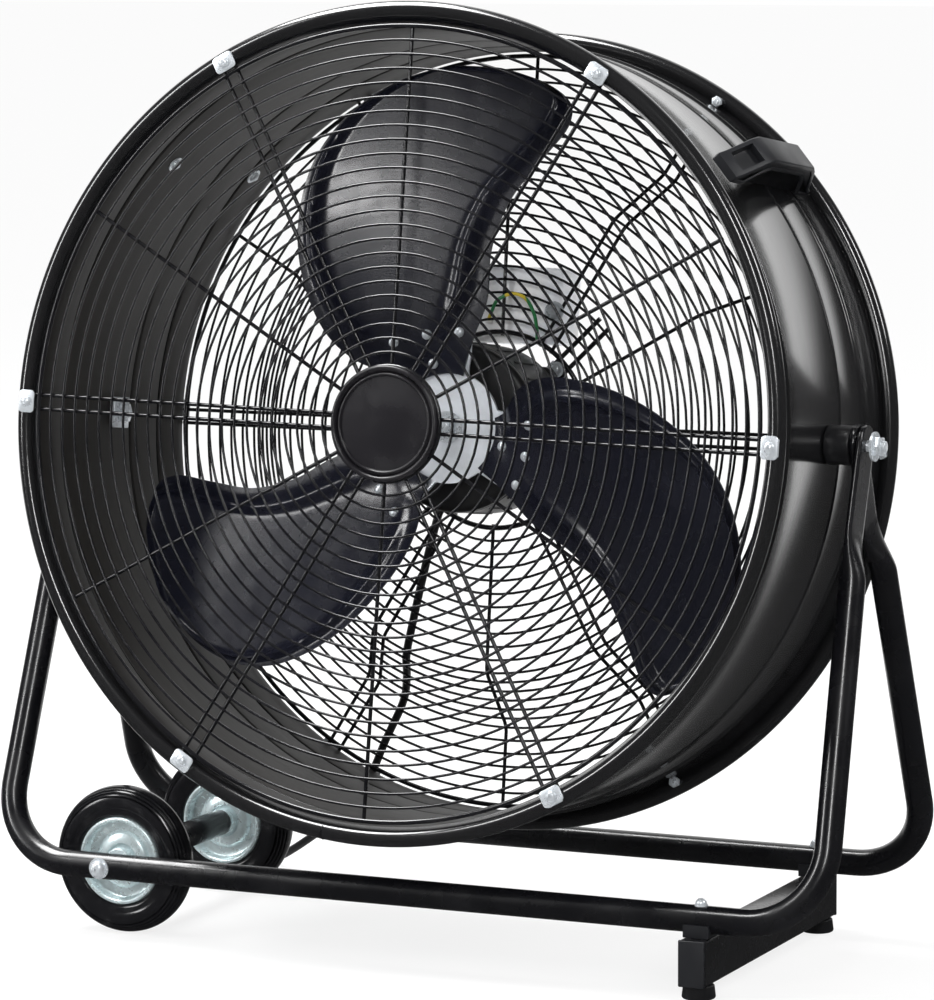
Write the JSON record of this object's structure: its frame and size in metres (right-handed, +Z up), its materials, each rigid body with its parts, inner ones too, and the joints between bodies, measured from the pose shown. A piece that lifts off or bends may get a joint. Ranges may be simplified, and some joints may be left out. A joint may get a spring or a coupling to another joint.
{
  "type": "drum fan",
  "caption": "Wheeled drum fan: a tilting steel drum with wire guards and pitched blades, carried between two bent tube frames on rubber tyres and a foot bar.",
  "frame": {"origin": "on the floor, under the middle of the fan's overall box without its free cord", "axes": "+Z up, the air leaves towards -Y, +X towards the foot bar and -X towards the wheels; the drum turns about an axis along X"},
  "size_m": [0.7615, 0.4179, 0.7764],
  "materials": {
    "shell_paint": "satin black powder coat on rolled sheet steel",
    "wire_paint": "black powder coat on welded round wire",
    "frame_paint": "gloss black powder coat on bent steel tube",
    "blade_paint": "black baked paint on pressed aluminium",
    "motor_paint": "black paint on the motor's housing",
    "plain_alloy": "plain pressed aluminium, slightly blue",
    "zinc_plate": "bright zinc plate",
    "core_steel": "stacked electrical steel sheets",
    "foot_rubber": "moulded black rubber",
    "tyre_rubber": "solid black rubber tyre with grooves",
    "black_plastic": "moulded black plastic with a fine grain",
    "box_plastic": "light grey moulded plastic",
    "cord_sheath": "round black rubber sheath",
    "earth_sheath": "green and yellow insulation"
  },
  "bodies": {
    "stand": {"frame_front": "frame_paint", "frame_rear": "frame_paint", "foot_bar": "frame_paint", "bar_cap_front": "black_plastic", "bar_cap_rear": "black_plastic", "rail_saddle_front": "black_plastic", "rail_saddle_rear": "black_plastic", "rubber_foot_front": "foot_rubber", "rubber_foot_rear": "foot_rubber", "axle_rod": "zinc_plate", "axle_sleeve": "frame_paint", "power_cord": "cord_sheath", "cord_coil": "cord_sheath", "mains_plug": "black_plastic"},
    "drum": {"drum_shell": "shell_paint", "front_grille": "wire_paint", "rear_grille": "wire_paint", "centre_badge": "black_plastic", "grille_clip_1": "zinc_plate", "grille_clip_2": "zinc_plate", "grille_clip_3": "zinc_plate", "grille_clip_4": "zinc_plate", "grille_clip_5": "zinc_plate", "grille_clip_6": "zinc_plate", "motor_can": "motor_paint", "motor_front_bell": "motor_paint", "motor_rear_bell": "motor_paint", "stator_core": "core_steel", "bearing_front": "zinc_plate", "bearing_rear": "zinc_plate", "switch_box": "box_plastic", "switch_box_lid": "box_plastic", "speed_switch": "black_plastic", "run_capacitor": "black_plastic", "cable_gland": "black_plastic", "power_lead": "cord_sheath", "lead_clip": "black_plastic", "earth_wire": "earth_sheath", "pivot_spacer_left": "foot_rubber", "pivot_spacer_right": "foot_rubber", "pivot_bolt_left": "zinc_plate", "pivot_bolt_right": "zinc_plate", "pivot_nut_left": "zinc_plate", "pivot_nut_right": "zinc_plate", "handle_left": "black_plastic", "handle_right": "black_plastic"},
    "rotor": {"blade_1": "blade_paint", "blade_2": "blade_paint", "blade_3": "blade_paint", "blade_spider": "plain_alloy", "hub_collar": "plain_alloy", "motor_shaft": "zinc_plate", "rotor_core": "core_steel"},
    "knob": {"speed_knob": "black_plastic"},
    "wheel_front": {"tyre_front": "tyre_rubber", "wheel_rim_front": "zinc_plate"},
    "wheel_rear": {"tyre_rear": "tyre_rubber", "wheel_rim_rear": "zinc_plate"}
  },
  "joints": [
    {"name": "drum_tilt", "type": "hinge", "parent": "stand", "child": "drum", "pos_m": [0, 0.0062, 0.4257], "axis": [-1, 0, 0], "range_deg": [-97.2, 82.8], "deforming": ["power_cord"]},
    {"name": "fan_spin", "type": "hinge", "parent": "drum", "child": "rotor", "pos_m": [0, 0.0062, 0.4257], "axis": [0, -0.9921, 0.1253], "continuous": true},
    {"name": "speed_knob_turn", "type": "hinge", "parent": "drum", "child": "knob", "pos_m": [0, 0.13841, 0.51483], "axis": [0, 0.9921, -0.1253], "range_deg": [0, 135]},
    {"name": "wheel_front_spin", "type": "hinge", "parent": "stand", "child": "wheel_front", "pos_m": [-0.2665, -0.0868, 0.062], "axis": [0, 1, 0], "continuous": true},
    {"name": "wheel_rear_spin", "type": "hinge", "parent": "stand", "child": "wheel_rear", "pos_m": [-0.2665, 0.0992, 0.062], "axis": [0, 1, 0], "continuous": true}
  ]
}
